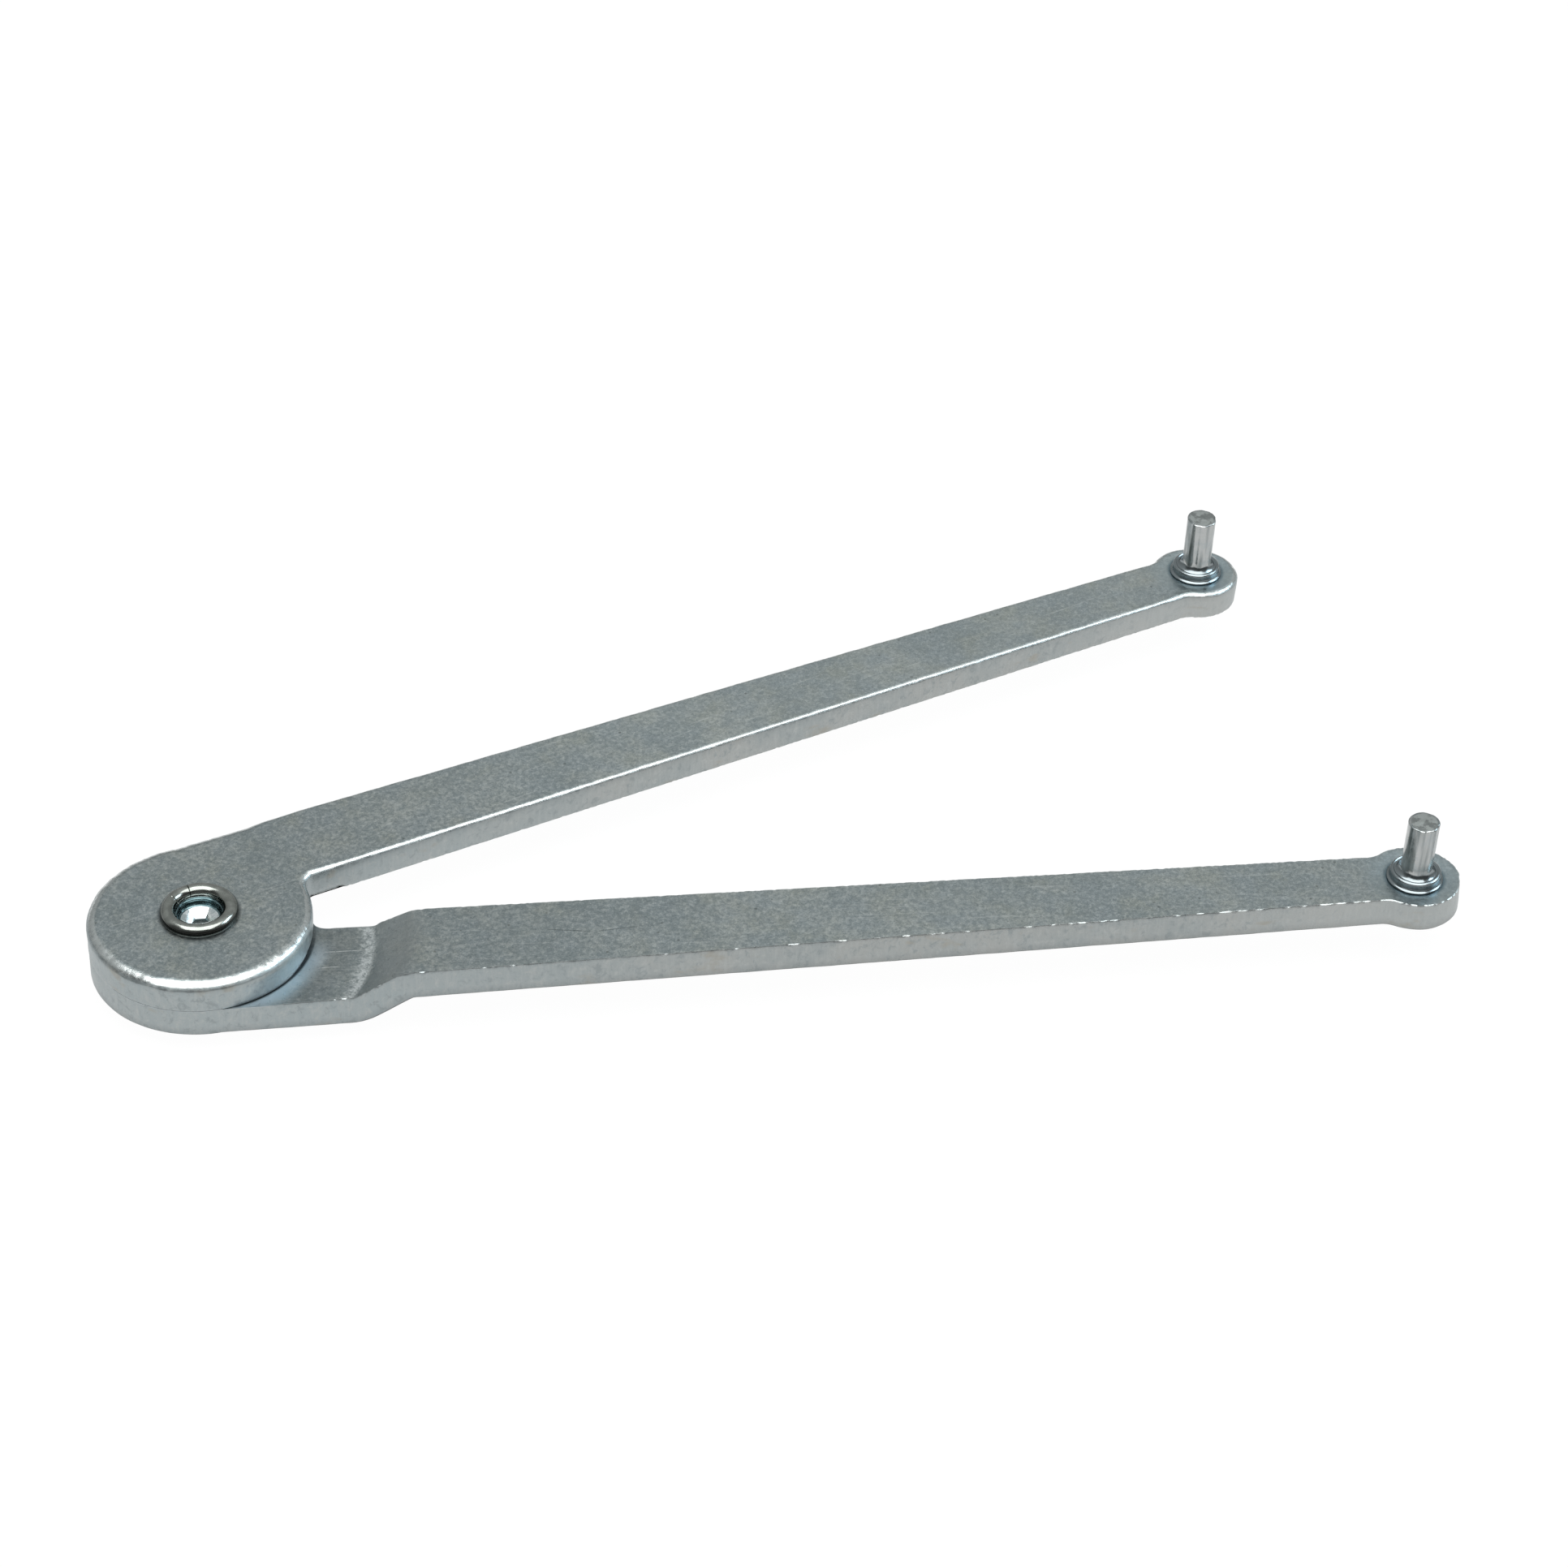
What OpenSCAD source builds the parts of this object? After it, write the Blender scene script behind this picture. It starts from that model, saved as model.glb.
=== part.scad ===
// Adjustable face pin wrench: two flat steel arms on one hollow rivet, with an upright pin at each tip.
// Units are millimetres, +Z is up. The origin lies on the pivot axis, in the flat underside of the
// rivet's head. +X runs along the middle of the opening, from the pivot towards the tips.

/* [Opening] */
// Angle of each arm away from the middle of the opening, as stored
half_opening = 13.3; // [2.3:0.1:60]

/* [Arms] */
// Thickness of the steel strip
arm_thickness = 4; // [3:0.5:6]
// Distance from the pivot to each working pin
pivot_to_pin = 154; // [100:1:200]
// Diameter of the round head at the pivot
head_dia = 28; // [22:0.5:36]
// Distance of the outer edge from the pin line, level with the pivot
outer_at_pivot = 13.9; // [10:0.1:16]
// Distance of the outer edge from the pin line, level with the pin
outer_at_pin = 4.4; // [3:0.1:6]
// Distance of the inner edge from the pin line, level with the pivot (outward is positive)
inner_at_pivot = 0.6; // [-3:0.1:3]
// Distance of the inner edge from the pin line, level with the pin (outward is positive)
inner_at_pin = -4.5; // [-6:0.1:-3]
// Diameter of the round lobe that carries the pin
lobe_dia = 12.1; // [10:0.1:16]
// Blend radius between the lobe and the arm's straight edges
lobe_blend = 3; // [1:0.5:6]
// Blend radius of the notch between the head and the inner edge
notch_blend = 1.8; // [1:0.1:6]

/* [Joggle of the lower arm] */
// Extra width of the sunken part on the inner side
shoulder = 1.2; // [0:0.1:2]
// Distance from the pivot at which the extra width starts to fade
shoulder_end = 22.5; // [20:0.5:24]
// Length over which the extra width fades out
shoulder_fade = 5; // [3:0.5:8]
// How far the raised arm sits below the upper arm's top just after the slope
crest_drop = 0.6; // [0:0.1:1]
// Angle of the slope that lifts the lower arm level with the upper one
joggle_angle = 33; // [20:1:45]
// Distance from the joggle's own axis to the foot of the slope
joggle_foot = 21.7; // [19:0.1:26]
// Sideways offset of the joggle's axis from the pivot, towards the outer edge
joggle_offset = 2.1; // [0:0.1:4]
// Bend radius on top, at the foot of the slope
foot_bend = 1; // [0.5:0.5:4]
// Bend radius on top, where the slope meets the raised arm
crest_bend = 5; // [4.5:0.5:8]

/* [Pivot rivet] */
// Outer diameter of the hollow shank
shank_dia = 8; // [6:0.5:10]
// Diameter of the factory head under the lower arm
rivet_head_dia = 11.5; // [10:0.5:14]
// Height of the factory head
rivet_head_height = 1.8; // [1.2:0.1:2.5]
// Outer diameter of the rolled rim
rim_dia = 9.8; // [9:0.1:12]
// Diameter of the opening inside the rolled rim
rim_mouth_dia = 6; // [4:0.1:8]
// Height of the rolled rim above the arm
rim_height = 1.25; // [0.8:0.05:2]
// Depth of the blind bore below the top of the arms
bore_depth = 1.9; // [1:0.1:6]

/* [Working pins] */
// Diameter of the working pin
pin_dia = 4; // [2.5:0.5:6]
// Height of the pin's end above the arm
pin_height = 9.1; // [6:0.1:14]
// Diameter of the collar where it sits on the arm
collar_dia = 7.2; // [6:0.1:9]
// Diameter of the collar's upper edge
collar_top_dia = 6.2; // [5:0.1:8]
// Height of the collar
collar_height = 1.35; // [0.8:0.05:2.5]
// Diameter of the peened tail under the arm
tail_dia = 6.4; // [5:0.1:8]
// Height of the peened tail
tail_height = 0.9; // [0.5:0.1:1.5]

/* [Running clearances] */
// Radial clearance between the rivet shank and the upper arm
radial_gap = 0.05; // [0.02:0.01:0.1]
// Gap between the two heads, and under the rolled rim
axial_gap = 0.05; // [0.02:0.01:0.1]

/* [Hidden] */

$fn = 128;
lower_z = rivet_head_height;
upper_z = lower_z + arm_thickness + axial_gap;
top_z = upper_z + arm_thickness;
head_r = head_dia / 2;
lobe_r = lobe_dia / 2;
shank_r = shank_dia / 2;
pin_r = pin_dia / 2;
rim_tube_r = (rim_dia - rim_mouth_dia) / 4;
rim_mid_r = (rim_dia + rim_mouth_dia) / 4;
joggle_rise = arm_thickness + axial_gap - crest_drop;
joggle_steps = 6;
head_steps = 72;
lobe_steps = 48;
blend_steps = 8;
sheet_reach = 200;
crest_x = joggle_foot + joggle_rise / tan(joggle_angle);
lift = crest_drop * (sheet_reach - crest_x) / (pivot_to_pin - crest_x);
steel = [0.62, 0.65, 0.66];
bright_steel = [0.72, 0.73, 0.73];
rivet_steel = [0.52, 0.51, 0.48];

// Slope angle of a straight edge, and the pivot's distance from it, square to the edge.
function edge_angle(at_pivot, at_pin) = atan((at_pin - at_pivot) / pivot_to_pin);
function edge_off(at_pivot, at_pin) = at_pivot * cos(edge_angle(at_pivot, at_pin));

// Point reached from [cx, 0] by going along an edge and then square to it.
function offset_point(cx, along, across, angle) =
    [cx + along * cos(angle) - across * sin(angle), along * sin(angle) + across * cos(angle)];

// Centre of the blend between a round end of radius r at [cx, 0] and an edge.
// side is +1 for the outer edge and -1 for the inner one; reach is the way along the arm.
function blend_mid(r, cx, off, angle, side, reach, b) =
    let (
        across = off + cx * sin(angle) + side * b,
        along = reach * sqrt((r + b) * (r + b) - across * across)
    )
    offset_point(cx, along, across, angle);

function bearing(from, to) = atan2(to[1] - from[1], to[0] - from[0]);

// Points on an arc about mid, from angle a0 to angle a1.
function arc(mid, r, a0, a1, steps) = [
    for (i = [0 : steps])
        let (a = a0 + (a1 - a0) * i / steps)
        mid + r * [cos(a), sin(a)]
];

// Flat outline of one arm: the pin line is the X axis, and +Y is its outer side.
// wide is the extra width on the inner side near the head.
module arm_outline(wide) {
    pivot = [0, 0];
    tip = [pivot_to_pin, 0];
    ia = edge_angle(inner_at_pivot, inner_at_pin);
    io = edge_off(inner_at_pivot, inner_at_pin);
    oa = edge_angle(outer_at_pivot, outer_at_pin);
    oo = edge_off(outer_at_pivot, outer_at_pin);
    notch_mid = blend_mid(head_r, 0, io - wide, ia, -1, 1, notch_blend);
    inner_mid = blend_mid(lobe_r, pivot_to_pin, io, ia, -1, -1, lobe_blend);
    outer_mid = blend_mid(lobe_r, pivot_to_pin, oo, oa, 1, -1, lobe_blend);
    corner = offset_point(0, sqrt(head_r * head_r - oo * oo), oo, oa);
    fade = wide > 0 ? [
        offset_point(0, shoulder_end, io - wide, ia),
        offset_point(0, shoulder_end + shoulder_fade, io, ia)
    ] : [];
    polygon(concat(
        arc(pivot, head_r, bearing(pivot, corner), bearing(pivot, notch_mid) + 360, head_steps),
        arc(notch_mid, notch_blend, bearing(notch_mid, pivot), 90 + ia, blend_steps),
        fade,
        arc(inner_mid, lobe_blend, 90 + ia, bearing(inner_mid, tip), blend_steps),
        arc(tip, lobe_r, bearing(tip, inner_mid), bearing(tip, outer_mid), lobe_steps),
        arc(outer_mid, lobe_blend, bearing(outer_mid, tip), oa - 90, blend_steps)
    ));
}

// Holes through one arm for the rivet and the pin.
module arm_holes(rivet_r) {
    translate([0, 0, lower_z - 1]) cylinder(r = rivet_r, h = top_z);
    translate([pivot_to_pin, 0, lower_z - 1]) cylinder(r = pin_r, h = top_z);
}

// Upper side of the joggled sheet as points [distance, height above the head's face].
function joggle_points(foot_r, crest_r, shift) =
    let (
        foot_x = joggle_foot + shift,
        top_x = crest_x + shift,
        foot_t = foot_r * tan(joggle_angle / 2),
        crest_t = crest_r * tan(joggle_angle / 2)
    )
    concat(
        [
            for (i = [0 : joggle_steps])
                let (a = joggle_angle * i / joggle_steps)
                [foot_x - foot_t + foot_r * sin(a), foot_r * (1 - cos(a))]
        ],
        [
            for (i = [joggle_steps : -1 : 0])
                let (a = joggle_angle * i / joggle_steps)
                [top_x + crest_t - crest_r * sin(a), joggle_rise - crest_r * (1 - cos(a))]
        ]
    );

// Section of the joggled sheet, from the joggle's axis outwards.
module joggle_section() {
    shift = arm_thickness * tan(joggle_angle / 2);
    upper = joggle_points(foot_bend, crest_bend, 0);
    lower = joggle_points(foot_bend + arm_thickness, crest_bend - arm_thickness, shift);
    count = len(lower);
    polygon(concat(
        [[0, arm_thickness]],
        [for (p = upper) [p[0], p[1] + arm_thickness]],
        [
            [sheet_reach, joggle_rise + lift + arm_thickness],
            [sheet_reach, joggle_rise + lift]
        ],
        [for (i = [count - 1 : -1 : 0]) lower[i]],
        [[0, 0]]
    ));
}

module lower_arm() {
    color(steel)
    rotate([0, 0, -half_opening])
    mirror([0, 1, 0])
    difference() {
        intersection() {
            translate([0, 0, lower_z - 1]) linear_extrude(height = top_z) arm_outline(shoulder);
            translate([0, joggle_offset, lower_z]) rotate_extrude() joggle_section();
        }
        arm_holes(shank_r);
    }
}

module upper_arm() {
    color(steel)
    rotate([0, 0, half_opening])
    difference() {
        translate([0, 0, upper_z]) linear_extrude(height = arm_thickness) arm_outline(0);
        arm_holes(shank_r + radial_gap);
    }
}

// Hollow rivet: factory head below, blind bore and rolled rim above.
module pivot_rivet() {
    edge_r = 0.6;
    lip_height = 0.22;
    wall_r = 2.7;
    cone_r = 2.35;
    floor_r = 0.95;
    crown_z = top_z + rim_height - rim_tube_r;
    color(rivet_steel)
    rotate_extrude() {
        difference() {
            union() {
                square([rivet_head_dia / 2, rivet_head_height - edge_r]);
                square([rivet_head_dia / 2 - edge_r, rivet_head_height]);
                translate([rivet_head_dia / 2 - edge_r, rivet_head_height - edge_r])
                    circle(r = edge_r);
                square([shank_r, crown_z]);
                intersection() {
                    translate([rim_mid_r, crown_z]) circle(r = rim_tube_r);
                    translate([0, top_z + axial_gap]) square([rim_dia, rim_height]);
                }
                translate([0, top_z + axial_gap])
                    square([rim_dia / 2, lip_height - axial_gap]);
            }
            polygon([
                [0, top_z - bore_depth],
                [floor_r, top_z - bore_depth],
                [cone_r, top_z - 1],
                [wall_r, top_z - 0.8],
                [rim_mouth_dia / 2, top_z],
                [rim_mouth_dia / 2, crown_z],
                [0, crown_z]
            ]);
        }
    }
}

// Shouldered pin: collar on the arm, spigot through it and peened tail below.
module pin_solid() {
    fillet_height = 0.25;
    end_chamfer = 0.2;
    dome_r = (tail_height * tail_height + tail_dia * tail_dia / 4) / (2 * tail_height);
    rotate_extrude() {
        polygon([
            [0, upper_z],
            [pin_r, upper_z],
            [pin_r, top_z],
            [collar_dia / 2, top_z],
            [collar_top_dia / 2, top_z + collar_height],
            [pin_r + fillet_height, top_z + collar_height],
            [pin_r, top_z + collar_height + fillet_height],
            [pin_r, top_z + pin_height - end_chamfer],
            [pin_r - end_chamfer, top_z + pin_height],
            [0, top_z + pin_height]
        ]);
        intersection() {
            translate([0, upper_z - tail_height + dome_r]) circle(r = dome_r);
            translate([0, upper_z - tail_height]) square([tail_dia, tail_height]);
        }
    }
}

module lower_pin() {
    color(bright_steel)
    rotate([0, 0, -half_opening])
    translate([pivot_to_pin, 0, 0])
    pin_solid();
}

module upper_pin() {
    color(bright_steel)
    rotate([0, 0, half_opening])
    translate([pivot_to_pin, 0, 0])
    pin_solid();
}

lower_arm();
pivot_rivet();
lower_pin();
upper_arm();
upper_pin();
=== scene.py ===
import math
from collections import namedtuple

import bmesh
import bpy
from mathutils import Matrix, Vector, noise


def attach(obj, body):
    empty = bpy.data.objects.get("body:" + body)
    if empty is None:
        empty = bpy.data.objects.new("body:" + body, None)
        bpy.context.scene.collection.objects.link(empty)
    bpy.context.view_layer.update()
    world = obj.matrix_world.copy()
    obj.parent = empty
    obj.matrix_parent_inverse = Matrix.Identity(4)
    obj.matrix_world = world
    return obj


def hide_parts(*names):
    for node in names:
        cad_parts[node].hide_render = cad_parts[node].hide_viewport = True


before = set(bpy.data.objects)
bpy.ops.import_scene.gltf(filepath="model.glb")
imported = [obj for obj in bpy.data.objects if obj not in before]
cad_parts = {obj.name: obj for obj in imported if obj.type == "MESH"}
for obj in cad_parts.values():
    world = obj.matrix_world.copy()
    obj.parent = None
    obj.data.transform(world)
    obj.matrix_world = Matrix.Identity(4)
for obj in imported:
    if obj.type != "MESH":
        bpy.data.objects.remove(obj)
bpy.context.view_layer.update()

# ---------------------------------------------------------------- sizes, in millimetres
MM = 0.001
HALF_OPENING = 13.3
TURN = math.radians(HALF_OPENING)
PIVOT_TO_PIN = 154.0
PIN_R, PIN_HEIGHT = 2.0, 9.1
SHEET = 4.0
GAP = 0.05
LOWER_Z = 1.8
UPPER_Z = LOWER_Z + SHEET + GAP
TOP_Z = UPPER_Z + SHEET
HEAD_R = 14.0
LOBE_R = 6.05
# each edge's distance from the arm's middle line, at the pivot and at the pin
INNER = (0.6, -4.5)
OUTER = (13.9, 4.4)
NOTCH_BLEND = 1.8
SHOULDER, SHOULDER_END, SHOULDER_FADE = 1.2, 22.5, 5.0
CREST_DROP = 0.6
LOBE_BLEND = 3.0
JOGGLE_ANGLE = math.radians(33)
JOGGLE_FOOT = 21.7
JOGGLE_OFFSET = 2.1
FOOT_BEND = 1.0
CREST_BEND = 5.0
RISE = SHEET + GAP - CREST_DROP
CREST_X = JOGGLE_FOOT + RISE / math.tan(JOGGLE_ANGLE)


def fbm(x, y, z, octaves=3):
    """Smooth noise in several octaves, about -1 to 1."""
    total, amp, f = 0.0, 1.0, 1.0
    for _ in range(octaves):
        total += amp * noise.noise(Vector((x * f, y * f, z * f)))
        amp *= 0.5
        f *= 2.03
    return total


# ---------------------------------------------------------------- outline of one arm
def edge_line(pair):
    """Angle of a tapered edge, and its distance from the pivot."""
    angle = math.atan((pair[1] - pair[0]) / PIVOT_TO_PIN)
    return angle, pair[0] * math.cos(angle)


def offset_point(cx, along, across, angle):
    """A point along and across a line that starts at cx on the middle line."""
    return (cx + along * math.cos(angle) - across * math.sin(angle),
            along * math.sin(angle) + across * math.cos(angle))


def blend_mid(r, cx, off, angle, side, reach, b):
    """Middle of the arc of radius b that joins an edge to a circle of radius r round cx."""
    across = off + cx * math.sin(angle) + side * b
    along = reach * math.sqrt((r + b) ** 2 - across ** 2)
    return offset_point(cx, along, across, angle)


def bearing(p, q):
    return math.atan2(q[1] - p[1], q[0] - p[0])


def arc(mid, r, a0, a1, step):
    count = max(3, int(abs(a1 - a0) * r / step) + 1)
    return [(mid[0] + r * math.cos(a0 + (a1 - a0) * i / count),
             mid[1] + r * math.sin(a0 + (a1 - a0) * i / count)) for i in range(count + 1)]


def straight(p, q, step):
    count = max(1, int(math.dist(p, q) / step))
    return [(p[0] + (q[0] - p[0]) * i / count, p[1] + (q[1] - p[1]) * i / count)
            for i in range(1, count)]


def arm_outline(wide, step=0.4):
    """Points round an arm, anticlockwise; wide is how far the inner edge steps out by the notch."""
    ai, oi = edge_line(INNER)
    ao, oo = edge_line(OUTER)
    pivot, tip = (0.0, 0.0), (PIVOT_TO_PIN, 0.0)
    notch = blend_mid(HEAD_R, 0, oi - wide, ai, -1, 1, NOTCH_BLEND)
    inner = blend_mid(LOBE_R, PIVOT_TO_PIN, oi, ai, -1, -1, LOBE_BLEND)
    outer = blend_mid(LOBE_R, PIVOT_TO_PIN, oo, ao, 1, -1, LOBE_BLEND)
    corner = offset_point(0, math.sqrt(HEAD_R ** 2 - oo * oo), oo, ao)
    half = math.pi / 2
    pts = arc(pivot, HEAD_R, bearing(pivot, corner), bearing(pivot, notch) + 2 * math.pi, step)
    pts += arc(notch, NOTCH_BLEND, bearing(notch, pivot), half + ai, 0.2)[1:]
    if wide:
        for stop in (offset_point(0, SHOULDER_END, oi - wide, ai),
                     offset_point(0, SHOULDER_END + SHOULDER_FADE, oi, ai)):
            pts += straight(pts[-1], stop, step) + [stop]
    run = arc(inner, LOBE_BLEND, half + ai, bearing(inner, tip), 0.25)
    pts += straight(pts[-1], run[0], step) + run
    end = bearing(tip, outer)
    pts += arc(tip, LOBE_R, bearing(tip, inner), end, 0.3)[1:]
    run = arc(outer, LOBE_BLEND, bearing(outer, tip), ao - half, 0.25)[1:]
    pts += run + straight(run[-1], pts[0], step)
    return pts


def outward(pts):
    """Unit normals of a closed loop that runs anticlockwise."""
    result = []
    for i in range(len(pts)):
        a, b = pts[i - 1], pts[(i + 1) % len(pts)]
        t = Vector((b[0] - a[0], b[1] - a[1])).normalized()
        result.append((t.y, -t.x))
    return result


# ---------------------------------------------------------------- joggle of the lower arm
def joggle_curve(x, foot_r, crest_r, shift):
    """Height of one side of the joggled sheet at distance x from the joggle's axis."""
    t = math.tan(JOGGLE_ANGLE)
    foot_x = JOGGLE_FOOT + shift
    crest_x = foot_x + RISE / t
    slope = CREST_DROP / (PIVOT_TO_PIN - CREST_X)
    foot_t = foot_r * math.tan(JOGGLE_ANGLE / 2)
    crest_t = crest_r * math.tan(JOGGLE_ANGLE / 2)
    c = math.cos(JOGGLE_ANGLE)
    if x <= foot_x - foot_t:
        return 0.0
    if x < foot_x + foot_t * c:
        d = x - (foot_x - foot_t)
        return foot_r - math.sqrt(foot_r ** 2 - d * d)
    if x <= crest_x - crest_t * c:
        return (x - foot_x) * t
    if x < crest_x + crest_t:
        d = crest_x + crest_t - x
        return RISE - (crest_r - math.sqrt(crest_r ** 2 - d * d))
    return RISE + (x - crest_x - crest_t) * slope


def joggled_z(x, y, s):
    """Height in the joggled sheet of a point that was s above the flat sheet's underside."""
    r = math.hypot(x, y - JOGGLE_OFFSET)
    shift = SHEET * math.tan(JOGGLE_ANGLE / 2)
    low = joggle_curve(r, FOOT_BEND + SHEET, CREST_BEND - SHEET, shift)
    high = joggle_curve(r, FOOT_BEND, CREST_BEND, 0.0) + SHEET
    return low + (high - low) * s / SHEET


# ---------------------------------------------------------------- arm meshes
Ring = namedtuple("Ring", "roll inset height torn wall burr edge under")
ROLL_STEPS = 10
ROLL_RINGS = ROLL_STEPS + 3
ROLL_DEPTH = 0.68
HEAD_ROLL, ARM_ROLL, LOBE_ROLL, LOWER_ROLL = 1.40, 0.58, 0.88, 0.50
CIRCLE = [2 * math.pi * k / 72 for k in range(72)]


def arm_rings():
    """Rings round one arm, from the face on its rolled side, over the edge, to its burr face.

    roll and inset say how far in from the outline a ring lies, as a share of the roll's width and
    in millimetres. height is a share of the roll's depth below the face on the rolled side, and
    millimetres above the burr face after that. torn and burr are how ragged it is, and wall, edge
    and under are for the material: edge marks the rolled band that is smoother and painted paler
    as a highlight, and under the band along the underside that is painted dark as shade.
    """
    rings = [Ring(1.0, 0.9, 0.0, 0, 0.0, 0.0, 0.0, 0.0), Ring(1.0, 0.12, 0.0, 0, 0.0, 0.0, 0.0, 0.0)]
    for i in range(ROLL_STEPS + 1):
        t = i / ROLL_STEPS
        a = math.pi / 2 * t
        rings.append(Ring(roll=0.65 * (1 - math.sin(a)) + 0.35 * (1 - t), inset=0.0,
                          height=0.65 * (1 - math.cos(a)) + 0.35 * t, torn=0,
                          wall=(0.0, 0.5, 1.0)[min(2, max(0, i - 6))], burr=0.0,
                          edge=1.0 if 2 <= i <= 6 else 0.0,
                          under=(1.0, 1.0, 0.9, 0.25)[min(3, max(0, i - 7))]))
    wall_and_burr = ((0.0, 0.00, 2.50, 0.3, 1.0, 0.0, 0.00, 0.0), (0.0, 0.02, 1.90, 0.6, 1.0, 0.0, 0.00, 0.0),
                     (0.0, 0.05, 1.10, 0.8, 1.0, 0.0, 0.00, 0.0), (0.0, 0.08, 0.45, 1.0, 1.0, 0.2, 0.00, 0.0),
                     (0.0, 0.09, 0.09, 1.0, 1.0, 1.0, 0.30, 0.0), (0.0, 0.13, 0.00, 1.0, 0.2, 1.0, 0.55, 0.0),
                     (0.0, 0.30, 0.00, 0.0, 0.0, 0.0, 0.00, 0.0), (0.0, 1.40, 0.00, 0.0, 0.0, 0.0, 0.00, 0.0))
    return rings + [Ring(*values) for values in wall_and_burr]


def ramp(value, low, high):
    t = min(1.0, max(0.0, (value - low) / (high - low)))
    return t * t * (3 - 2 * t)


def edge_place(ring, on_roll, x, y, ny, rolled_up, seed):
    """How far inside the outline point x, y a ring lies, and its height above the burr face."""
    s = ring.height
    width = HEAD_ROLL - (HEAD_ROLL - ARM_ROLL) * ramp(x, 8.0, 20.0)
    width += (LOBE_ROLL - ARM_ROLL) * ramp(x, 146.0, 154.0)
    width *= 1 + 0.10 * fbm(x * 1.5 + seed, y * 1.5, 9.0)
    width = (width if rolled_up else LOWER_ROLL) * (1 + 0.16 * fbm(x * 0.30 + seed, y * 0.30, 3.0))
    height = SHEET - ROLL_DEPTH * width * s if on_roll else s
    lean = 0.20 * ramp(x, 8.0, 20.0) if not rolled_up and ny > 0 else 0.0
    inset = ring.inset + ring.roll * width + lean * (1 - height / SHEET)
    rag = fbm(x * 2.4 + seed, y * 2.4, 7.0, 2)
    if ring.wall > 0.0 or ring.burr > 0.0:
        wave = fbm(x * 0.9 + seed, y * 0.9, s * 0.7)
        inset = max(0.004, inset + 0.016 + 0.016 * wave + ring.torn * 0.022 * rag)
    if ring.burr == 1.0 and s > 0.0:
        height = max(0.03, s + 0.07 * rag)
    elif ring.burr == 1.0:
        # specks where the burr is bent over, more of them towards the tip
        inset += 0.09 * ramp(fbm(x * 2.6 + seed, y * 2.6, 2.0) + 0.003 * (x - 70.0), 0.02, 0.40)
    if ring.burr > 0.0 and x < 10.0:
        inset = 0.15 * inset + (0.0 if rolled_up else 0.22 * ramp(-x, 10.0, 13.5))
    if ring.burr > 0.0 and rolled_up and x < 20.0 and ny < 0.0:
        # the sheared edge lifts off the other head towards the notch
        lift = ramp(math.degrees(math.atan2(y, x)), -68.0, -40.0)
        inset += 0.22 * lift * (1 if s < 0.3 else 0)
        height += (0.26 if s > 0.0 else 0.0) * lift
    return inset, height


def arm_edge(bm, pts, rolled_up, seed):
    """The whole edge of an arm as faces between rings, returned from the top ring to the bottom one."""
    wall = bm.verts.layers.float.new("wall")
    under = bm.verts.layers.float.new("under")
    edge = bm.verts.layers.float.new("edge")
    normals = outward(pts)
    rings = []
    for k, ring in enumerate(arm_rings()):
        on_roll = k < ROLL_RINGS
        verts = []
        for (x, y), (nx, ny) in zip(pts, normals):
            inset, height = edge_place(ring, on_roll, x, y, ny, rolled_up, seed)
            v = bm.verts.new((x - nx * inset, y - ny * inset, height))
            v[wall] = ring.wall
            v[edge] = ring.edge
            if not rolled_up:
                v.co.z = SHEET - v.co.z
                v[under] = ring.under if on_roll else 0.0
            verts.append(v)
        rings.append(verts)
    if not rolled_up:
        rings.reverse()
    for upper, lower in zip(rings, rings[1:]):
        for i in range(len(pts)):
            j = (i + 1) % len(pts)
            bm.faces.new((upper[i], lower[i], lower[j], upper[j]))
    return rings


def bore_wall(bm, x, r):
    """A round hole's wall, returned as its top and its bottom loop."""
    loops = [[bm.verts.new((x + r * math.cos(a), r * math.sin(a), z)) for a in CIRCLE]
             for z in (SHEET, 0.0)]
    for i in range(len(CIRCLE)):
        j = (i + 1) % len(CIRCLE)
        bm.faces.new((loops[0][j], loops[1][j], loops[1][i], loops[0][i]))
    return loops


def fill_face(bm, loops, up):
    edges = [bm.edges.get((loop[i], loop[(i + 1) % len(loop)])) for loop in loops for i in range(len(loop))]
    bmesh.ops.triangle_fill(bm, use_beauty=True, use_dissolve=False, edges=edges, normal=(0, 0, up))


def cut(bm, axis, value, low, high):
    """Cuts the faces between x = low and x = high at one x (axis 0) or one y (axis 1)."""
    co = [0.0, 0.0, 0.0]
    no = [0.0, 0.0, 0.0]
    co[axis] = value
    no[axis] = 1.0
    near = [f for f in bm.faces if low - 0.01 <= f.calc_center_median().x <= high + 0.01]
    geom = set(near)
    for f in near:
        geom.update(f.verts)
        geom.update(f.edges)
    bmesh.ops.bisect_plane(bm, geom=list(geom), plane_co=co, plane_no=no, dist=1e-5)


def cut_grid(bm, x0, x1, y0, y1, step):
    """Gives a flat stretch enough points to bend or dish."""
    cut(bm, 0, x0, -20, 170)
    cut(bm, 0, x1, -20, 170)
    for k in range(1, int((x1 - x0) / step)):
        cut(bm, 0, x0 + k * step, x0, x1)
    for k in range(int((y1 - y0) / step) + 1):
        cut(bm, 1, y0 + k * step, x0, x1)


def link_mesh(name, bm, sharp):
    """Turns a bmesh in millimetres into a smooth object in metres."""
    bm.transform(Matrix.Scale(MM, 4))
    mesh = bpy.data.meshes.new(name)
    bm.to_mesh(mesh)
    bm.free()
    mesh.shade_smooth()
    mesh.set_sharp_from_angle(angle=math.radians(sharp))
    obj = bpy.data.objects.new(name, mesh)
    bpy.context.collection.objects.link(obj)
    return obj


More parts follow.
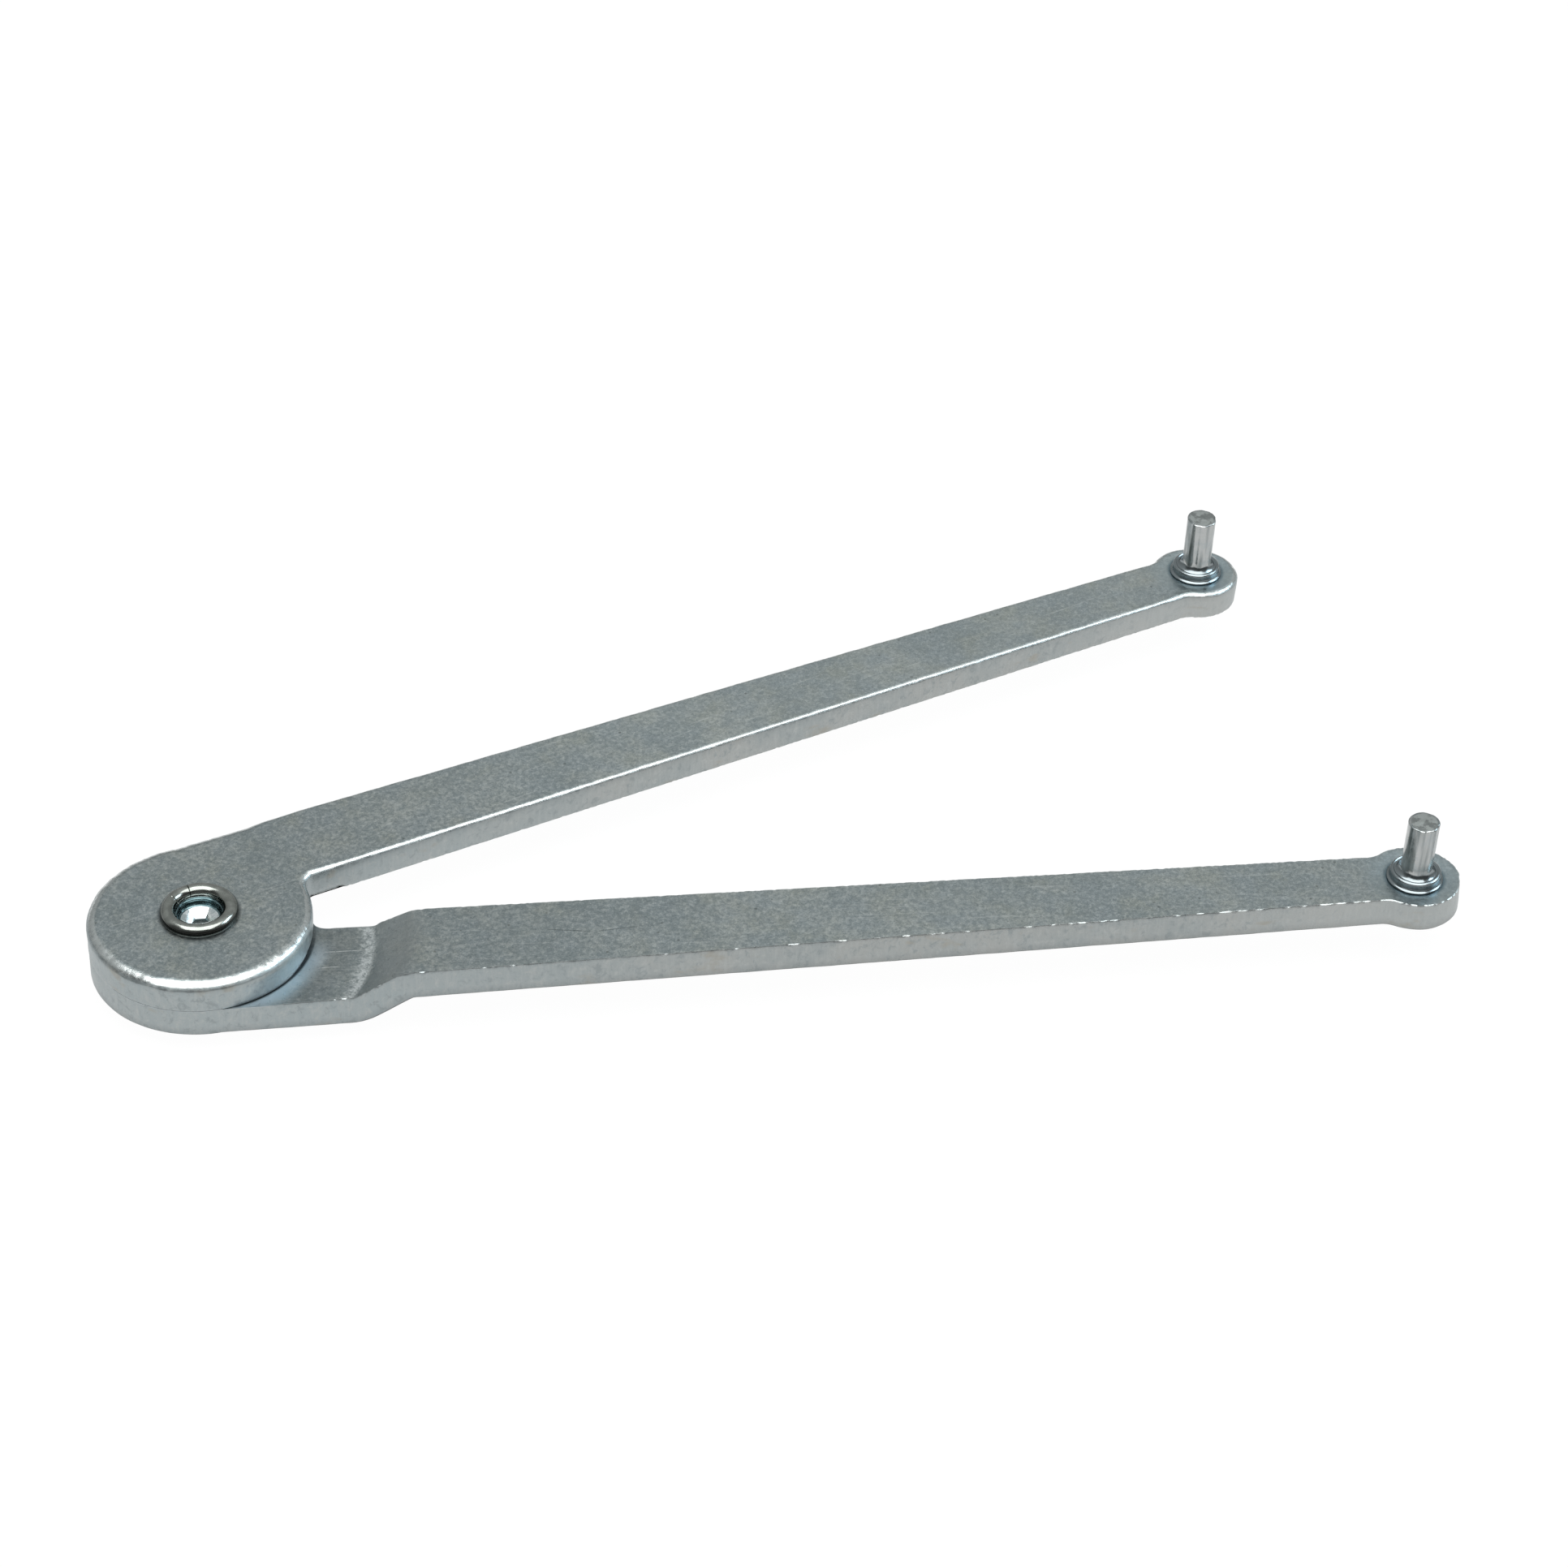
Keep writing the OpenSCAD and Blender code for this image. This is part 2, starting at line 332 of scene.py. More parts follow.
def build_arm(name, joggled, bore_r, seed):
    """The flat arm has its rolled edge on top; the joggled one was stamped the other way up."""
    bm = bmesh.new()
    rings = arm_edge(bm, arm_outline(SHOULDER if joggled else 0.0), not joggled, seed)
    holes = [bore_wall(bm, 0.0, bore_r), bore_wall(bm, PIVOT_TO_PIN, PIN_R)]
    fill_face(bm, [rings[0]] + [hole[0] for hole in holes], 1)
    fill_face(bm, [rings[-1]] + [hole[1] for hole in holes], -1)
    cut_grid(bm, 146.5, 160.0, -6.0, 6.0, 0.55)
    if joggled:
        cut_grid(bm, 17.5, 33.5, -1.4, 13.3, 0.42)
    for v in bm.verts:
        x, y, s = v.co
        d = math.hypot(x - PIVOT_TO_PIN, y)
        if s > SHEET - 0.7 and d < 7.0:
            # the pin's collar has dished the sheet round it
            s -= 0.10 * math.exp(-((d - 3.9) / 1.0) ** 2)
        v.co.z = joggled_z(x, y, s) if joggled else s
    bmesh.ops.recalc_face_normals(bm, faces=bm.faces[:])
    if joggled:
        # mirrored, which turns every face inside out, so they are turned back
        bm.transform(Matrix.Scale(-1, 4, (0, 1, 0)))
        bmesh.ops.reverse_faces(bm, faces=bm.faces[:])
    obj = link_mesh(name, bm, 38)
    turn = Matrix.Rotation((-TURN if joggled else TURN), 4, "Z")
    obj.data.transform(Matrix.Translation((0, 0, (LOWER_Z if joggled else UPPER_Z) * MM)) @ turn)
    return obj


# ---------------------------------------------------------------- lathe work
def lathe(name, profile, angles, shape, sharp):
    """Turns (r, z, zone) points, listed from the middle of the bottom to the middle of the top."""
    bm = bmesh.new()
    layer = bm.verts.layers.float.new("zone")
    rings = []
    for r, z, zone in profile:
        ring = []
        for a in angles if r > 1e-6 else [0.0]:
            rr, zz = shape(r, z, a, zone) if r > 1e-6 else (0.0, z)
            v = bm.verts.new((rr * math.cos(a), rr * math.sin(a), zz))
            v[layer] = zone
            ring.append(v)
        rings.append(ring)
    for low, high in zip(rings, rings[1:]):
        for i in range(len(angles)):
            j = (i + 1) % len(angles)
            corners = [low[i % len(low)], low[j % len(low)], high[j % len(high)], high[i % len(high)]]
            face = list(dict.fromkeys(corners))
            if len(face) > 2:
                bm.faces.new(face)
    bmesh.ops.recalc_face_normals(bm, faces=bm.faces[:])
    return link_mesh(name, bm, sharp)


def apart(a, b):
    """The angle between two bearings."""
    return abs((a - b + math.pi) % (2 * math.pi) - math.pi)


BODY, LIP, ROLL, BORE, CONE, FLOOR = range(6)


def build_rivet():
    crown_r, tube_r = 3.95, 0.95
    crown_z = TOP_Z + 1.25 - tube_r
    profile = [(0, 0.0, BODY), (2.5, 0.0, BODY), (4.9, 0.0, BODY), (5.3, 0.04, BODY)]
    for i in range(1, 9):
        a = math.pi * i / 8 - math.pi / 2
        profile.append((5.15 + 0.6 * math.cos(a), 0.75 + 0.63 * math.sin(a), BODY))
    profile += [(5.0, 1.62, BODY), (4.3, LOWER_Z - 0.01, BODY), (4.0, LOWER_Z, BODY),
                (4.0, TOP_Z + 0.02, BODY)]
    profile += [(4.0, TOP_Z + GAP, LIP), (4.82, TOP_Z + GAP, LIP), (4.88, TOP_Z + 0.10, LIP),
                (4.86, TOP_Z + 0.17, LIP), (4.70, TOP_Z + 0.22, LIP), (4.62, TOP_Z + 0.24, LIP)]
    for i in range(27):
        a = math.radians(-42) + math.radians(232) * i / 26
        profile.append((crown_r + tube_r * math.cos(a), crown_z + tube_r * math.sin(a), ROLL))
    profile += [(2.99, TOP_Z + 0.02, BORE), (2.96, TOP_Z - 0.10, BORE), (2.84, TOP_Z - 0.17, BORE),
                (2.79, TOP_Z - 0.30, BORE), (2.77, TOP_Z - 0.50, BORE), (2.72, TOP_Z - 0.56, BORE),
                (2.68, TOP_Z - 0.70, BORE), (2.60, TOP_Z - 0.90, BORE), (2.45, TOP_Z - 1.0, BORE)]
    profile += [(2.36, TOP_Z - 1.02, CONE), (1.8, TOP_Z - 1.42, CONE), (1.15, TOP_Z - 1.9, CONE),
                (1.1, TOP_Z - 1.9, FLOOR), (0.5, TOP_Z - 1.93, FLOOR), (0, TOP_Z - 1.93, FLOOR)]
    # cracks in the roll: bearing, depth and how far out from the axis they reach
    cracks = ((math.radians(99.0), 0.16, 9.0), (math.radians(139.0), 0.10, crown_r - 0.1))
    facet = math.radians(60)
    facet0 = math.radians(-101)
    angles = [2 * math.pi * k / 192 for k in range(192)]
    angles += [bearing + d for bearing, _, _ in cracks for d in (-0.022, -0.008, 0.0, 0.008, 0.022)]
    angles += [facet0 + facet * (k + 0.5) for k in range(6)]
    angles = sorted(set(round(a % (2 * math.pi), 5) for a in angles))

    def shape(r, z, a, zone):
        if zone == ROLL or (zone == BORE and z > TOP_Z - 0.12):
            r += 0.018 * noise.noise(Vector((3 * math.cos(a), 3 * math.sin(a), z * 0.8)))
            for middle, depth, reach in cracks:
                d = apart(a, middle)
                if d < 0.02 and z > TOP_Z + 0.35 and r < reach:
                    z -= depth * (1 - d / 0.02)
        off = a - facet0 - facet * round((a - facet0) / facet)
        if zone == CONE and r < 2.0:
            r = r * 0.93 / math.cos(off)
        if zone == FLOOR and r > 1.0:
            r = 1.15 * 0.93 / math.cos(off) - 0.03
        return r, z

    return lathe("pivot_rivet_detailed", profile, angles, shape, 24)


TAIL, COLLAR, STEP, FILLET, SHANK, CHAMFER, END = range(7)


def build_pin(name, seed, side):
    """side is 1 for the upper arm's pin and -1 for the lower arm's."""
    top = TOP_Z + PIN_HEIGHT
    c = TOP_Z
    profile = [(0, UPPER_Z - 0.9, TAIL)]
    dome_r = (0.9 ** 2 + 3.2 ** 2) / 1.8
    for i in range(1, 9):
        r = 3.2 * i / 8
        profile.append((r * 0.985, UPPER_Z - 0.9 + dome_r - math.sqrt(dome_r ** 2 - r * r), TAIL))
    profile += [(PIN_R, UPPER_Z + 0.02, TAIL), (PIN_R, c - 0.12, TAIL)]
    profile += [(3.52, c - 0.10, COLLAR), (3.62, c, COLLAR), (3.62, c + 0.08, COLLAR),
                (3.58, c + 0.14, COLLAR), (3.46, c + 0.20, COLLAR), (3.34, c + 0.27, COLLAR),
                (3.29, c + 0.36, COLLAR), (3.27, c + 0.60, COLLAR), (3.24, c + 0.95, COLLAR)]
    profile += [(3.25, c + 1.10, STEP), (3.20, c + 1.19, STEP), (3.08, c + 1.26, STEP),
                (2.96, c + 1.31, STEP), (2.84, c + 1.28, STEP), (2.74, c + 1.18, STEP),
                (2.60, c + 1.17, STEP)]
    profile += [(2.48, c + 1.25, FILLET), (2.34, c + 1.36, FILLET), (2.22, c + 1.50, FILLET),
                (2.10, c + 1.68, FILLET), (2.03, c + 1.95, SHANK)]
    for i in range(1, 13):
        profile.append((PIN_R, c + 1.95 + (PIN_HEIGHT - 1.95 - 0.10) * i / 12, SHANK))
    profile += [(1.94, top - 0.03, CHAMFER), (1.86, top - 0.005, CHAMFER), (1.5, top, END),
                (1.1, top, END), (0.7, top, END), (0.35, top, END), (0, top, END)]
    angles = [2 * math.pi * k / 120 for k in range(120)]
    # flats rolled into the wire: bearing of the middle and distance from the axis
    zero = math.radians(-98 - side * HALF_OPENING)
    if side > 0:
        flats = [(20, 1.90), (78, 1.93), (-72, 1.92), (150, 1.93)]
    else:
        flats = [(-48, 1.92), (4, 1.92), (52, 1.91), (140, 1.94)]
    flats = [(zero + math.radians(degrees), depth) for degrees, depth in flats]
    fold = zero - math.radians(24)

    def shape(r, z, a, zone):
        if zone in (FILLET, SHANK, CHAMFER) and r < 2.3 and z > c + 1.6:
            worn = r
            for middle, depth in flats:
                d = math.cos(a - middle)
                if d > 0.3:
                    worn = min(worn, r / PIN_R * depth / d)
            if side > 0:
                worn -= 0.10 * math.exp(-(apart(a, fold) / 0.13) ** 2)
            r += (worn - r) * min(1.0, (z - c - 1.6) / 0.5)
            r += 0.012 * fbm(3 * math.cos(a) + seed, 3 * math.sin(a), z * 0.8)
        if zone in (SHANK, CHAMFER, END) and z > top - 0.2:
            x, y = r * math.cos(a - zero), r * math.sin(a - zero)
            if side > 0:
                z -= max(0.0, 0.10 + 0.07 * x)
            else:
                z -= 0.04 + 0.06 * max(0.0, -y + 0.3) + 0.05 * max(0.0, x)
            z += 0.02 * fbm(2.5 * x + seed, 2.5 * y, 1.0) - 0.02
        if zone in (COLLAR, STEP):
            r += 0.012 * fbm(2.0 * math.cos(a) + seed, 2.0 * math.sin(a), z)
        return r, z

    obj = lathe(name, profile, angles, shape, 34)
    turn = Matrix.Rotation(side * TURN, 4, "Z")
    obj.data.transform(turn @ Matrix.Translation((PIVOT_TO_PIN * MM, 0, 0)))
    return obj


# ---------------------------------------------------------------- materials
class Graph:
    """A small helper that adds nodes to one material."""

    def __init__(self, name, turn=0.0):
        self.mat = bpy.data.materials.new(name)
        self.mat.use_nodes = True
        self.tree = self.mat.node_tree
        self.shader = self.tree.nodes["Principled BSDF"]
        self.shader.inputs["Metallic"].default_value = 1.0
        coord = self.tree.nodes.new("ShaderNodeTexCoord")
        level = self.tree.nodes.new("ShaderNodeMapping")
        level.vector_type = "TEXTURE"
        level.inputs["Rotation"].default_value = (0, 0, turn)
        self.link(coord.outputs["Object"], level.inputs["Vector"])
        self.object = level.outputs["Vector"]

    def link(self, a, b):
        self.tree.links.new(a, b)

    def mapped(self, scale, turn=0.0, shift=(0, 0, 0)):
        """The piece's own coordinates in millimetres, times scale."""
        node = self.tree.nodes.new("ShaderNodeMapping")
        node.inputs["Scale"].default_value = [v / MM for v in scale]
        node.inputs["Rotation"].default_value = (0, 0, turn)
        node.inputs["Location"].default_value = shift
        self.link(self.object, node.inputs["Vector"])
        return node.outputs["Vector"]

    def noise(self, vector, scale, detail=3.0, rough=0.55, distort=0.0):
        node = self.tree.nodes.new("ShaderNodeTexNoise")
        node.inputs["Scale"].default_value = scale
        node.inputs["Detail"].default_value = detail
        node.inputs["Roughness"].default_value = rough
        node.inputs["Distortion"].default_value = distort
        self.link(vector, node.inputs["Vector"])
        return node.outputs["Fac"]

    def voronoi(self, vector, scale):
        node = self.tree.nodes.new("ShaderNodeTexVoronoi")
        node.inputs["Scale"].default_value = scale
        self.link(vector, node.inputs["Vector"])
        return node.outputs["Distance"]

    def vector_math(self, kind, a, b=None):
        node = self.tree.nodes.new("ShaderNodeVectorMath")
        node.operation = kind
        self.link(a, node.inputs[0])
        if b is not None:
            node.inputs[1].default_value = b
        return node.outputs

    def radius(self, x, y):
        """Distance in millimetres from an upright line at x, y of the arm's own plane."""
        moved = self.vector_math("SUBTRACT", self.object, (x * MM, y * MM, 0))[0]
        flat = self.vector_math("MULTIPLY", moved, (1 / MM, 1 / MM, 0))[0]
        return self.vector_math("LENGTH", flat)["Value"]

    def place(self):
        """The arm's own x, y and z, in metres."""
        split = self.tree.nodes.new("ShaderNodeSeparateXYZ")
        self.link(self.object, split.inputs[0])
        return split.outputs

    def attribute(self, name):
        node = self.tree.nodes.new("ShaderNodeAttribute")
        node.attribute_name = name
        return node.outputs["Fac"]

    def span(self, value, low, high, to_low=0.0, to_high=1.0):
        """Goes smoothly from to_low to to_high as value goes from low to high."""
        node = self.tree.nodes.new("ShaderNodeMapRange")
        node.interpolation_type = "SMOOTHSTEP"
        node.inputs["From Min"].default_value = low
        node.inputs["From Max"].default_value = high
        node.inputs["To Min"].default_value = to_low
        node.inputs["To Max"].default_value = to_high
        self.link(value, node.inputs["Value"])
        return node.outputs["Result"]

    def math(self, kind, *values):
        node = self.tree.nodes.new("ShaderNodeMath")
        node.operation = kind
        for socket, value in zip(node.inputs, values):
            if isinstance(value, float):
                socket.default_value = value
            else:
                self.link(value, socket)
        return node.outputs[0]

    def product(self, first, *others):
        for mask in others:
            first = self.math("MULTIPLY", first, mask)
        return first

    def colour(self, factor, a, b):
        """Goes from colour a to colour b as the mask goes from 0 to 1."""
        node = self.tree.nodes.new("ShaderNodeMix")
        node.data_type = "RGBA"
        for socket, value in ((node.inputs[6], a), (node.inputs[7], b)):
            if isinstance(value, tuple):
                socket.default_value = (*value, 1.0)
            else:
                self.link(value, socket)
        self.link(factor, node.inputs[0])
        return node.outputs[2]

    def blend(self, factor, a, b):
        node = self.tree.nodes.new("ShaderNodeMix")
        for socket, value in zip(node.inputs, (factor, None, a, b)):
            if value is not None:
                self.link(value, socket)
        return node.outputs[0]

    def bump(self, heights):
        """Lays (height, strength, distance in millimetres) layers on each other."""
        normal = None
        for height, strength, distance in heights:
            node = self.tree.nodes.new("ShaderNodeBump")
            node.inputs["Strength"].default_value = strength
            node.inputs["Distance"].default_value = distance * MM
            self.link(height, node.inputs["Height"])
            if normal is not None:
                self.link(normal, node.inputs["Normal"])
            normal = node.outputs["Normal"]
        self.link(normal, self.shader.inputs["Normal"])

    def finish(self, colour, rough):
        self.link(colour, self.shader.inputs["Base Color"])
        self.link(rough, self.shader.inputs["Roughness"])
        return self.mat


def stroke(g, start, end, width):
    """A mask that is 1 on a thin line between two points of the arm's own plane, in millimetres."""
    length = math.dist(start, end)
    node = g.tree.nodes.new("ShaderNodeMapping")
    node.vector_type = "TEXTURE"
    node.inputs["Location"].default_value = (start[0] * MM, start[1] * MM, 0)
    node.inputs["Rotation"].default_value = (0, 0, bearing(start, end))
    g.link(g.object, node.inputs["Vector"])
    split = g.tree.nodes.new("ShaderNodeSeparateXYZ")
    g.link(node.outputs["Vector"], split.inputs[0])
    across = g.math("ABSOLUTE", split.outputs[1])
    line = g.span(across, width * 0.3 * MM, width * MM, 1.0, 0.0)
    begin = g.span(split.outputs[0], 0.0, length * 0.15 * MM)
    finish = g.span(split.outputs[0], length * 0.7 * MM, length * MM, 1.0, 0.0)
    return g.product(line, begin, finish)


def plated_face(g, tone, shift, calmest, clouds, mottle, grain):
    """Satin zinc: clouds, bluish and greenish tints, mottling, grain, scratches and pits."""
    def shade(*rgb):
        return tuple(v * tone for v in rgb)

    x = g.place()[0]
    tint = g.noise(g.mapped((1, 1, 1), shift=(shift[0] + 60, 9, 2)), 0.22, 3.0, 0.6)
    face = g.colour(g.span(clouds, 0.33, 0.68), shade(0.315, 0.358, 0.362), shade(0.425, 0.457, 0.440))
    face = g.colour(g.span(tint, 0.42, 0.68, 0.0, 0.7), face, shade(0.335, 0.385, 0.405))
    face = g.colour(g.span(tint, 0.30, 0.47, 0.7, 0.0), face, shade(0.375, 0.402, 0.368))
    calm = g.span(x, 25.0 * MM, 110.0 * MM, 1.0, calmest)
    face = g.colour(g.product(g.span(mottle, 0.34, 0.58, 0.80, 0.0), calm), face, shade(0.255, 0.30, 0.31))
    face = g.colour(g.product(g.span(mottle, 0.50, 0.68, 0.0, 0.65), calm), face, shade(0.50, 0.53, 0.515))
    face = g.colour(g.span(grain, 0.52, 0.72, 0.0, 0.60), face, shade(0.60, 0.63, 0.61))
    face = g.colour(g.span(grain, 0.28, 0.46, 0.60, 0.0), face, shade(0.20, 0.23, 0.235))
    for angle, offset, limit in ((0.35, 3.0, 0.70), (-0.9, 9.0, 0.71), (1.35, 21.0, 0.72)):
        line = g.noise(g.mapped((0.06, 2.2, 0.6), turn=angle, shift=(offset, offset, 0)), 1.0, 2.0, 0.4)
        face = g.colour(g.span(line, limit, limit + 0.03, 0.0, 0.30), face, shade(0.62, 0.65, 0.64))
    pits = g.voronoi(g.mapped((1, 1, 1), shift=shift), 0.36)
    return g.colour(g.span(pits, 0.05, 0.085, 0.5, 0.0), face, (0.10, 0.11, 0.10))


def joggle_wear_and_painted_light(g, face, clouds, mottle, grain):
    """Marks on the lower arm's top: rubbed at the joggle's foot; painted shade, a painted sheen and a painted
    contact shadow beside the upper head, painted light on the slope.
    """
    x, y, z = g.place()
    top = g.span(z, (LOWER_Z + 3.6) * MM, (LOWER_Z + 3.8) * MM)
    crease = g.math("ADD", g.radius(0.0, -JOGGLE_OFFSET), g.span(mottle, 0.3, 0.7, -0.25, 0.25))
    speckle = g.math("ADD", g.span(grain, 0.40, 0.60, 0.1, 0.8), g.span(mottle, 0.45, 0.60, 0.0, 0.4))
    rub = g.product(g.span(crease, 19.3, 21.1), g.span(crease, 21.45, 21.75, 1.0, 0.0), speckle, top)
    face = g.colour(rub, face, (0.66, 0.70, 0.70))
    head = g.radius(0.0, 0.0)
    # painted shade: the recess darker out to about 21 mm from the pivot, beside the upper head's wall
    face = g.colour(g.product(g.span(head, 17.5, 21.0, 0.30, 0.0), top), face, (0.12, 0.14, 0.15))
    # painted sheen: a pale bluish reflection painted on the recess in front of the upper head's wall
    painted_sheen = g.product(g.span(head, 14.6, 17.2, 1.0, 0.0), g.span(y, -0.2 * MM, -6.0 * MM), top,
                        g.span(clouds, 0.3, 0.6, 0.5, 0.9))
    face = g.colour(painted_sheen, face, (0.60, 0.70, 0.77))
    # painted light: the joggle's slope painted paler just past the crease
    slope = g.product(g.span(crease, 21.6, 22.0), g.span(crease, 24.5, 29.0, 0.38, 0.0))
    face = g.colour(slope, face, (0.62, 0.66, 0.66))
    # painted contact shadow: a dark line on the recess hugging the upper head's foot, stronger on the arm's
    # -y side
    painted_shade = g.product(g.span(head, 14.05, 14.40, 0.92, 0.0), g.span(x, 2.0 * MM, 6.0 * MM),
                      g.span(y, 2.0 * MM, -6.0 * MM, 0.30, 1.0), top)
    return g.colour(painted_shade, face, (0.01, 0.012, 0.015))


def sheared_side(g, clouds, streaks, torn, shift):
    """The sheet's cut edge: streaks across the thickness, torn metal and brown stains, with painted cool
    shade towards the notch and painted light towards the tip.
    """
    x = g.place()[0]
    side = g.colour(g.span(clouds, 0.35, 0.65), (0.345, 0.375, 0.375), (0.385, 0.40, 0.39))
    # painted cool shade: the cut edge turned bluer towards the notch
    side = g.colour(g.span(x, 14.0 * MM, 70.0 * MM, 0.6, 0.0), side, (0.345, 0.40, 0.415))
    side = g.colour(g.span(streaks, 0.42, 0.70, 0.0, 0.45), side, (0.43, 0.455, 0.45))
    side = g.colour(g.span(torn, 0.34, 0.50, 0.75, 0.0), side, (0.25, 0.28, 0.285))
    side = g.colour(g.span(torn, 0.52, 0.68, 0.0, 0.65), side, (0.48, 0.50, 0.49))
    # painted light: the cut edge painted paler towards the tip
    side = g.colour(g.span(x, 120.0 * MM, 150.0 * MM, 0.0, 0.35), side, (0.49, 0.505, 0.495))
    stains = g.noise(g.mapped((0.16, 0.16, 0.3), shift=(shift[0] + 7, 3, 5)), 1.0, 3.0, 0.6)
    return g.colour(g.span(stains, 0.60, 0.72, 0.0, 0.55), side, (0.345, 0.325, 0.275))


def zinc_sheet(name, turn, shift, tone, strokes, joggled):
    g = Graph(name, turn)
    plain = g.mapped((1, 1, 1), shift=shift)
    clouds = g.noise(plain, 0.11, 4.0, 0.55)
    mottle = g.noise(plain, 1.7, 5.0, 0.72, 0.3)
    grain = g.noise(plain, 4.4, 4.0, 0.70)
    face = plated_face(g, tone, shift, 0.78 if joggled else 0.5, clouds, mottle, grain)
    if joggled:
        face = joggle_wear_and_painted_light(g, face, clouds, mottle, grain)
    for start, end, width, light in strokes:
        mask = g.product(stroke(g, start, end, width), g.span(grain, 0.34, 0.50))
        face = g.colour(mask, face, (0.72, 0.75, 0.74) if light else (0.13, 0.15, 0.15))
    pin = g.radius(PIVOT_TO_PIN, 0.0)
    # painted reflection: a paler bluish dish painted round the pin's collar
    face = g.colour(g.span(pin, 3.9, 8.0, 0.55, 0.0), face, tuple(v * tone for v in (0.36, 0.44, 0.47)))
    # painted shade: a dark ring round the foot of the pin's collar
    face = g.colour(g.span(pin, 3.6, 4.3, 0.8, 0.0), face, tuple(v * tone for v in (0.09, 0.15, 0.18)))
    # painted shade: the face darker towards the pivot
    face = g.colour(g.span(g.place()[0], 8.0 * MM, 75.0 * MM, 0.16, 0.0), face, (0.0, 0.0, 0.0))
    # the rolled edge band: smoother as a burnished roll, and painted paler as a painted highlight
    polish_and_highlight = g.product(g.attribute("edge"), g.span(mottle, 0.32, 0.50, 0.45, 1.0))
    face = g.colour(polish_and_highlight, face, (0.50, 0.53, 0.525))
    if not joggled:
        # painted shade: a dark ring on the face round the foot of the rivet's rim
        face = g.colour(g.span(g.radius(0.0, 0.0), 4.95, 5.40, 0.60, 0.0), face, (0.03, 0.035, 0.04))
    streaks = g.noise(g.mapped((2.6, 2.6, 0.35), shift=shift), 1.0, 4.0, 0.6)
    torn = g.noise(g.mapped((0.9, 0.9, 0.8), shift=shift), 1.0, 6.0, 0.70, 0.5)
    wall = g.attribute("wall")
    metal = g.colour(wall, face, sheared_side(g, clouds, streaks, torn, shift))
    # painted shade: the lower arm's bottom roll painted dark along its underside
    metal = g.colour(g.math("MULTIPLY", g.attribute("under"), 0.8), metal, (0.06, 0.06, 0.06))
    rough_face = g.math("SUBTRACT", g.span(mottle, 0.3, 0.7, 0.27, 0.40), g.math("MULTIPLY", polish_and_highlight, 0.12))
    rough_side = g.span(torn, 0.3, 0.7, 0.38, 0.55)
    g.bump(((clouds, 0.25, 0.5), (mottle, 0.45, 0.06), (grain, 0.30, 0.015),
            (g.product(streaks, wall), 0.30, 0.06)))
    return g.finish(metal, g.blend(wall, rough_face, rough_side))


def rivet_plate():
    g = Graph("rivet_plate")
    plain = g.mapped((1, 1, 1))
    zone = g.attribute("zone")
    stain = g.noise(plain, 0.9, 4.0, 0.6)
    ring = g.noise(g.mapped((0.5, 0.5, 9.0)), 1.0, 2.0, 0.5)
    fine = g.noise(plain, 6.0, 3.0, 0.6)
    metal = g.colour(g.span(stain, 0.35, 0.65), (0.215, 0.228, 0.212), (0.29, 0.305, 0.285))
    # painted shade: a dark band all round the outer side of the roll, fading out below its crest, lighter on
    # the lip
    z = g.place()[2]
    painted_shade = g.product(g.span(z, (TOP_Z + 0.68) * MM, (TOP_Z + 0.88) * MM, 0.88, 0.0),
                      g.span(g.radius(0.0, 0.0), 4.2, 4.5),
                      g.span(z, (TOP_Z + 0.20) * MM, (TOP_Z + 0.34) * MM, 0.10, 1.0))
    metal = g.colour(painted_shade, metal, (0.012, 0.012, 0.011))
    # painted shade: the bore's wall painted nearly black, teal-tinted
    painted_bore_shade = g.colour(g.span(ring, 0.3, 0.7), (0.025, 0.05, 0.055), (0.13, 0.19, 0.20))
    metal = g.colour(g.span(zone, BORE - 0.8, BORE - 0.1), metal, painted_bore_shade)
    cone = g.colour(g.span(stain, 0.4, 0.6), (0.44, 0.50, 0.51), (0.74, 0.78, 0.79))
    metal = g.colour(g.span(zone, CONE - 0.8, CONE - 0.1), metal, cone)
    # painted shade: the small flat bottom inside the cone painted dark, like a hole's depth
    metal = g.colour(g.span(zone, FLOOR - 0.7, FLOOR - 0.1), metal, (0.11, 0.125, 0.13))
    body = g.colour(g.span(stain, 0.35, 0.65), (0.40, 0.42, 0.41), (0.54, 0.56, 0.54))
    metal = g.colour(g.span(zone, LIP - 0.7, LIP - 0.1), body, metal)
    g.bump(((stain, 0.10, 0.04), (fine, 0.10, 0.008), (ring, 0.12, 0.02)))
    return g.finish(metal, g.span(stain, 0.3, 0.7, 0.13, 0.20))


